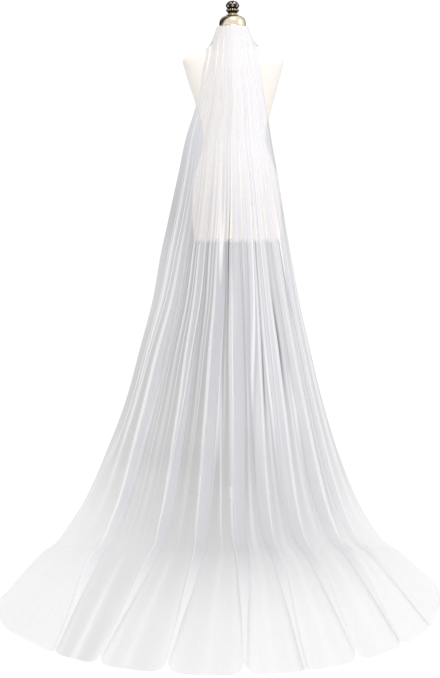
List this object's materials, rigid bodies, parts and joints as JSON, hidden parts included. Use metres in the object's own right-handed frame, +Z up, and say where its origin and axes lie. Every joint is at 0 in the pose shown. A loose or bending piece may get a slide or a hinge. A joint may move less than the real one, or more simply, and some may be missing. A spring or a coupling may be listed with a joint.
{
  "type": "bridal veil on a limbless dress form",
  "caption": "Cathedral-length bridal veil of soft white net, gathered at the neck of a limbless dress form, falling in long folds to a rounded train on the floor.",
  "frame": {"origin": "on the floor, at the middle of the form's round foot", "axes": "+Z up; the form faces +Y, and the veil hangs down its back with its train along -Y; -X is the left-hand side of someone who looks at the train"},
  "size_m": [1.144, 2.2061, 1.7756],
  "materials": {
    "net": "soft white bridal net",
    "comb": "clear moulded comb",
    "jersey": "cream cotton jersey over padding",
    "cap_metal": "polished pale metal",
    "bronze": "antique bronze",
    "board": "white painted board",
    "enamel": "white enamel"
  },
  "bodies": {
    "root": {"veil_net": "net", "veil_comb": "comb", "form_torso": "jersey", "form_neck_cap": "cap_metal", "form_finial_collar": "bronze", "form_finial": "bronze", "form_bottom_board": "board", "form_pole": "enamel", "form_foot": "enamel"}
  },
  "joints": []
}
